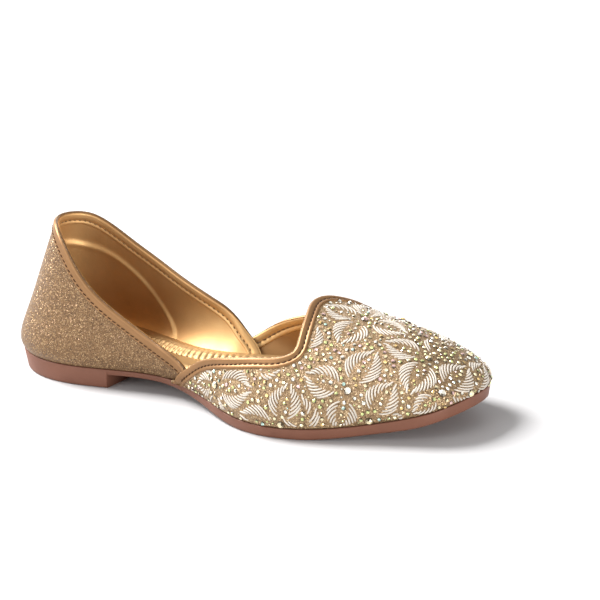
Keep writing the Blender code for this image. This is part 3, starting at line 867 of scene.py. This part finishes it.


def stone_mesh(name, centres, normals, radii, seed):
    """Cut stones: an octagonal table over eight slanted facets, each stone turned by its own angle.

    Round a stone, the facets' colour goes with a cosine from the dark rim's to a bright painted glint of the
    film:
    a painted highlight on one side of each stone and painted shade on the other.
    """
    rng = np.random.default_rng(seed)
    count = len(centres)
    side = unit(np.cross(normals, [0.31, 0.2, 0.93]))
    other = np.cross(normals, side)
    turn = rng.uniform(0, 2 * pi / FACETS, count)[:, None]
    angle = np.linspace(0, 2 * pi, FACETS, endpoint=False) + turn
    plan = side[:, None] * np.cos(angle)[..., None] + other[:, None] * np.sin(angle)[..., None]
    rings = [centres[:, None] + radii[:, None, None] * (plan * across + normals[:, None] * up)
             for across, up in STONE_RINGS]
    points = np.stack(rings, 1)
    index = np.arange(count * 3 * FACETS).reshape(count, 3, FACETS)
    after = np.roll(index, -1, axis=2)
    quads = np.stack([index[:, :-1], after[:, :-1], after[:, 1:], index[:, 1:]], -1)
    faces = quads.reshape(-1, 4).tolist() + index[:, 2].tolist() + index[:, 0, ::-1].tolist()
    mesh = bpy.data.meshes.new(name)
    mesh.from_pydata(((points.reshape(-1, 3) - ORIGIN) * MM).tolist(), [], faces)
    tint = np.array(TINTS)[rng.choice(len(TINTS), count, p=TINT_SHARES)]
    # Painted highlight: each stone's facets are lit on one side and dark on the other, turned at random
    painted_glint = 0.5 + 0.5 * np.cos(angle - angle[:, :1] - rng.uniform(0, 2 * pi, count)[:, None])
    crown_glint = np.array(RIM_FOIL_AND_SHADE) + (CROWN_GLINT * tint[:, None] - np.array(RIM_FOIL_AND_SHADE)) * painted_glint[..., None]
    girdle, flat = np.broadcast_to(RIM_FOIL_AND_SHADE, crown_glint.shape), TABLE * tint
    colour = np.ones((len(faces), 4), np.float32)
    colour[:, :3] = np.concatenate([np.stack([girdle, crown_glint], 1).reshape(-1, 3), flat, flat])
    layer = mesh.attributes.new("tint", "FLOAT_COLOR", "FACE")
    layer.data.foreach_set("color", colour.ravel())
    obj = bpy.data.objects.new(name, mesh)
    bpy.context.scene.collection.objects.link(obj)
    return obj


def flower_stones():
    """Places of the flowers' large stones and of the two along the bare middle of each leaf."""
    large, small = [], []
    for station, girth, leaves in flowers():
        large.append((station, np.clip(girth, 0.02, 1.98)))
        turn, reach = np.array(leaves).T
        radius = LEAF_BASE * 0.6 + reach[:, None] * np.array(LEAF_STONES)[:, 0]
        angle = np.radians(turn)[:, None] + 0 * radius
        small.append(np.stack(from_stone(station, girth, radius, angle), -1).reshape(-1, 2))
    return np.array(large).T, np.vstack(small).T


def scatter(barbs, taken, taken_radii):
    """Stones of the row along the sole and thrown on the open cloth, and then beads between them. One is
    kept where it clears the cords and the stones before it."""
    rng = np.random.default_rng(4)
    row, beside = station_at(EDGE_ROW), np.full(len(EDGE_ROW), EDGE_GIRTH)
    tries = STONE_TRIES + BEAD_TRIES
    station = np.concatenate([row, row, rng.uniform(station_at(CLOTH_START), 1, tries)])
    girth = np.concatenate([beside, 2 - beside, rng.uniform(SOLE_SHARE, 2 - SOLE_SHARE, tries)])
    radii = rng.uniform(*SMALL_STONES, len(station))
    radii[-BEAD_TRIES:] = rng.uniform(*BEADS, BEAD_TRIES)
    point = last(station, girth)
    clear = on_cloth(station, girth, STONE_MARGIN) & (distance_to(point, barbs) > radii + CORD_RADIUS)
    chosen, chosen_radii = list(taken), list(taken_radii)
    kept = []
    for i in np.flatnonzero(clear):
        gaps = np.linalg.norm(np.array(chosen) - point[i], axis=1) - np.array(chosen_radii) - radii[i]
        if (gaps > STONE_GAP).all():
            chosen.append(point[i])
            chosen_radii.append(radii[i])
            kept.append(i)
    return station[kept], girth[kept], radii[kept]


(large_station, large_girth), (leaf_station, leaf_girth) = flower_stones()
large_radii = np.full(len(large_station), LARGE_STONE)
open_leaf = on_cloth(leaf_station, leaf_girth, STONE_MARGIN)
leaf_radii = np.resize(np.array(LEAF_STONES)[:, 1], len(open_leaf))[open_leaf]
leaf_station, leaf_girth = leaf_station[open_leaf], leaf_girth[open_leaf]
taken = last(np.concatenate([large_station, leaf_station]), np.concatenate([large_girth, leaf_girth]))
taken_radii = np.concatenate([large_radii, leaf_radii])
barbs = last(barb_station, barb_girth).reshape(-1, 3)
small_station, small_girth, small_radii = scatter(barbs, taken, taken_radii)

glass, shader = material("rainbow_glass", (0.8, 0.8, 0.7), 0.2, 0.35, Coat_Weight=1.0, Coat_Roughness=0.04)
film = node(glass, "ShaderNodeAttribute", attribute_name="tint").outputs["Color"]
join(glass, film, shader.inputs["Base Color"])
for name, t, g, radii, seed in (
        ("large_stones", large_station, large_girth, large_radii, 1),
        ("small_stones", np.concatenate([leaf_station, small_station]),
         np.concatenate([leaf_girth, small_girth]), np.concatenate([leaf_radii, small_radii]), 2)):
    base, _, _, normal = tangents(t, g)
    stones = stone_mesh(name, base + normal * vamp_lift(base)[:, None], normal, radii, seed)
    stones.data.materials.append(glass)
    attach(stones, "root")

# Bindings
# Strips of gold leather folded over the two bound edges and sewn through. Outside, they are drawn in a
# darker, browner copy of the lining's foil as painted shade. The legs inside the shoe have the lining's
# brighter foil, and each leg has a groove where its stitches draw it down.

LEATHER = 0.7
BINDING_COLUMNS, BINDING_ROUND = 420, 14
FOLD_SHARE = 0.7  # the foil starts at this share of the half turn over the edge
TUCK = 0.012  # share of the rib by which the strips' ends go under the sole's edge
COLLAR_WALL = 1.2  # thickness inside the collar's fold
THROAT_WALL = 0.75  # and inside the throat's, as a share of the vamp's
# Legs of the strips: distance from the edge, height over the cloth
COLLAR_OUTSIDE = ((5.1, 0.0), (5.0, 0.4), (4.8, 0.5), (4.4, 0.3), (4.1, 0.27), (3.7, 0.45), (3.0, 0.5),
                  (2.2, 0.5), (1.6, 0.6))
COLLAR_INSIDE = ((2.2, 0.85), (3.2, 0.85), (3.9, 0.6), (4.3, 0.42), (4.7, 0.6), (5.2, 0.85), (5.8, 0.9),
                 (6.2, 0.75), (6.3, 0.4))
THROAT_OUTSIDE = ((5.3, 0.0), (5.2, 0.35), (4.9, 0.55), (4.4, 0.6), (3.9, 0.45), (3.4, 0.15), (3.1, 0.15),
                  (2.8, 0.45), (2.2, 0.6), (1.6, 0.65))
THROAT_INSIDE = ((2.0, 0.7), (3.0, 0.6), (3.6, 0.3), (4.0, 0.3), (4.5, 0.6), (5.8, 0.75), (6.4, 0.6),
                 (6.5, 0.3))


def binding_section(wall, outer_leg, inner_leg):
    """Distances and heights of the folded strip: outer leg, half circle over the edge, inner leg."""
    turn = np.linspace(0, pi, BINDING_ROUND)
    radius = wall / 2 + LEATHER
    section = [(d + 0 * wall, h + 0 * wall) for d, h in outer_leg]
    section += [(radius * (1 - sin(a)), -wall / 2 + radius * cos(a)) for a in turn]
    section += [(d + 0 * wall, -wall - h) for d, h in inner_leg]
    return section


def collar_wall(points):
    """Thickness inside the collar's fold, the same all along."""
    return np.full(len(points), COLLAR_WALL)


def throat_wall(points):
    """Thickness inside the throat's fold, a share of the vamp's."""
    return vamp_wall(points) * THROAT_WALL


def make_binding(name, path, lift, wall_of, outer_leg, inner_leg):
    """Carries the section along the edge: each of its rows is walked square down from the edge and lifted.
    The faces past the fold take the second material."""
    station, girth = even_path(path, BINDING_COLUMNS).T
    point, _, _, normal = tangents(station, girth)
    down = unit(np.cross(np.gradient(point, axis=0), normal))
    wall = wall_of(point)
    lines = []
    for distance, height in binding_section(wall, outer_leg, inner_leg):
        t, g, _ = walk(station, girth, down, distance)
        g = np.clip(g, -TUCK, 2 + TUCK)
        lines.append(over_last(t, g, lift(last(t, g)) + height))
    strip = grid_object(name, np.array(lines))
    past_fold = len(outer_leg) + FOLD_SHARE * BINDING_ROUND
    row = np.arange(len(strip.data.polygons)) // (BINDING_COLUMNS - 1)
    strip.data.polygons.foreach_set("material_index", (row > past_fold).astype(np.int32))
    return strip


collar = make_binding("collar_strip", quarter_edge(), quarter_lift, collar_wall,
                      COLLAR_OUTSIDE, COLLAR_INSIDE)
throat = make_binding("throat_strip", vamp_edge(), vamp_lift, throat_wall, THROAT_OUTSIDE, THROAT_INSIDE)
# Painted shade: the strips' outside is a darker, browner copy of the lining's foil, for the shade on the
# outer legs
strip_leather_shaded = gold_leather("binding_leather", (0.30, 0.155, 0.062), (0.26, 0.135, 0.054), 0.44, 0.55)
for strip, cad in ((collar, "collar_binding"), (throat, "vamp_binding")):
    strip.data.materials.append(strip_leather_shaded)
    strip.data.materials.append(foil)
    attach(strip, "root")
    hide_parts(cad)

# Stitches
# Waxed thread sewn through both bindings, drawn down into their grooves, and through the seam of the sock.
# The one thread is drawn in two tones: dark brown outside and on the sock, as painted shade of the holes and
# grooves it is drawn into, and tan inside the bindings, as painted highlight against the dark lining.

STITCH_PITCH, STITCH_SLANT, STITCH_RADIUS = 2.8, 0.2, 0.27
LONG_STITCH, SHORT_STITCH = 0.86, 0.6  # share of the pitch that each covers
STITCH_POINTS, STITCH_SIDES = 7, 6
SEAM_COLUMNS, SEAM_POINTS = 400, 2000  # along an edge, and along the fine line beside it
STITCH_START = 0.01  # the sole hides the stitches that lie below this share of the rib
SOCK_STITCH, SOCK_STITCH_HEIGHT = 1.8, 0.35


def beside_edge(path, distance):
    """Path at a distance from a bound edge, evenly spaced through every eighth of the places walked to."""
    rows = even_path(path, SEAM_COLUMNS)
    point, _, _, normal = tangents(*rows.T)
    down = unit(np.cross(np.gradient(point, axis=0), normal))
    station, girth, _ = walk(*rows.T, down, distance)
    return even_path(np.column_stack([station, girth])[::8], SEAM_POINTS)


def stitch_rows(path, distance, length_share):
    """Each stitch runs slightly across the seam, from one side of its line to the other."""
    point = last(*beside_edge(path, distance).T)
    length = np.linalg.norm(np.diff(point, axis=0), axis=1).sum()
    count = int(length / STITCH_PITCH)
    starts = (np.arange(count)[:, None] + 0.5 * (1 - length_share)) / count
    places = (starts + np.linspace(0, length_share, STITCH_POINTS) / count) * (SEAM_POINTS - 1)
    share, grid = np.linspace(0, 1, STITCH_POINTS), np.arange(SEAM_POINTS)
    near, far = (beside_edge(path, distance + shift).T for shift in (-STITCH_SLANT, STITCH_SLANT))
    t, g = (np.interp(places, grid, a) * share + np.interp(places, grid, b) * (1 - share)
            for a, b in zip(near, far))
    above_sole = share_of(t, g).min(axis=1) > STITCH_START
    return t[above_sole], g[above_sole]


# Painted shade and painted highlight: one thread, drawn darker outside and lighter inside the bindings
shaded_dark_thread, _ = material("shaded_brown_thread", (0.055, 0.025, 0.013), 0.8, Specular_IOR_Level=0.15)
lit_tan_thread, _ = material("lit_tan_thread", (0.20, 0.11, 0.05), 0.7, Specular_IOR_Level=0.2)
# Bound edge, how it lies over the last, distance from the edge, height over the cloth, outwards or inwards,
# cover of the pitch, thread
for name, path, lift, distance, height, side, share, colour in (
        ("collar_stitches", quarter_edge(), quarter_lift, 4.25, 0.27, 1, LONG_STITCH, shaded_dark_thread),
        ("collar_inner_stitches", quarter_edge(), quarter_lift, 4.3, -1.62, -1, SHORT_STITCH, lit_tan_thread),
        ("throat_stitches", vamp_edge(), vamp_lift, 3.25, 0.15, 1, LONG_STITCH, shaded_dark_thread),
        ("throat_inner_stitches", vamp_edge(), vamp_lift, 3.8, -1.3, -1, SHORT_STITCH, lit_tan_thread)):
    t, g = stitch_rows(path, distance, share)
    seam = threads(name, t, g, lift(last(t, g)) + height, STITCH_RADIUS, STITCH_SIDES, side)
    seam.data.materials.append(colour)
    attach(seam, "root")


def sock_stitches():
    """A short stitch across the seam in the gap before each gather."""
    phase = gather_phase()
    loops = np.interp(np.arange(int(phase[-1]) + 1), phase, SOCK_LOOP)
    inset = sock_inset(rib_at(loops))
    shifts = np.linspace(-SOCK_STITCH / 2, SOCK_STITCH / 2, STITCH_POINTS)
    across = [np.column_stack(outline(loops, -inset - SEAM + shift)) for shift in shifts]
    centres = np.stack(across, 1) + np.array([0, 0, SOCK_STITCH_HEIGHT])
    upwards = np.broadcast_to([0.0, 0.0, 1.0], centres.shape)
    return tubes("sock_stitches", centres, upwards, STITCH_RADIUS, STITCH_SIDES)


seam = sock_stitches()
seam.data.materials.append(shaded_dark_thread)
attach(seam, "root")

# Floor, light and camera
# White paper under soft studio light from above and behind the heel, with weaker lights from the outer
# side, the inner side and the toe, and a camera at the photograph's angle to the shoe.

FLOOR_HALF = 3.0  # sizes in this section are in metres
floor = bpy.data.meshes.new("floor")
corners = [(x * FLOOR_HALF, y * FLOOR_HALF, 0) for x, y in ((-1, -1), (1, -1), (1, 1), (-1, 1))]
floor.from_pydata(corners, [], [(0, 1, 2, 3)])
floor = bpy.data.objects.new("floor", floor)
bpy.context.scene.collection.objects.link(floor)
paper, _ = material("white_paper", (0.55, 0.542, 0.545), 0.9)
floor.data.materials.append(paper)

world = bpy.data.worlds.new("studio")
world.use_nodes = True
background = world.node_tree.nodes["Background"]
background.inputs["Color"].default_value = (1, 1, 1, 1)
background.inputs["Strength"].default_value = 0.40
bpy.context.scene.world = world


def soft_light(name, place, aim, size, power):
    """Square area light at a place, turned to face its aim."""
    lamp = bpy.data.lights.new(name, "AREA")
    lamp.size = size
    lamp.energy = power
    obj = bpy.data.objects.new(name, lamp)
    obj.location = place
    direction = np.array(aim, float) - np.array(place, float)
    obj.rotation_euler = Vector(direction).to_track_quat("-Z", "Y").to_euler()
    bpy.context.scene.collection.objects.link(obj)


soft_light("key", (-1.38, -0.1, 1.58), (0.09, 0.0, 0.02), 1.1, 113)
soft_light("fill", (-0.3, -1.35, 0.6), (0.09, 0.0, 0.03), 1.0, 9)
soft_light("behind", (-0.95, 1.45, 0.32), (0.09, 0.0, 0.03), 0.9, 10)
soft_light("toe_side", (1.5, -0.35, 0.22), (0.12, 0.0, 0.03), 0.4, 14)

AZIMUTH, ELEVATION, ROLL = radians(36.3), radians(18.09), radians(-3.0)
TARGET, DISTANCE = np.array([0.1120, 0.01844, 0.04217]), 1.8
SENSOR, LENS = 36, 234.17  # millimetres
back = np.array([sin(AZIMUTH) * cos(ELEVATION), -cos(AZIMUTH) * cos(ELEVATION), sin(ELEVATION)])
right = np.array([cos(AZIMUTH), sin(AZIMUTH), 0.0])
up = np.cross(back, right)
camera = bpy.data.objects.new("camera", bpy.data.cameras.new("camera"))
bpy.context.scene.collection.objects.link(camera)
turn = np.column_stack([right * cos(ROLL) + up * sin(ROLL), up * cos(ROLL) - right * sin(ROLL), back])
placed = np.eye(4)
placed[:3, :3] = turn
placed[:3, 3] = TARGET + DISTANCE * back
camera.matrix_world = Matrix(placed.tolist())
camera.data.sensor_width = SENSOR
camera.data.lens = LENS
bpy.context.scene.camera = camera
bpy.context.scene.view_settings.view_transform = "Standard"
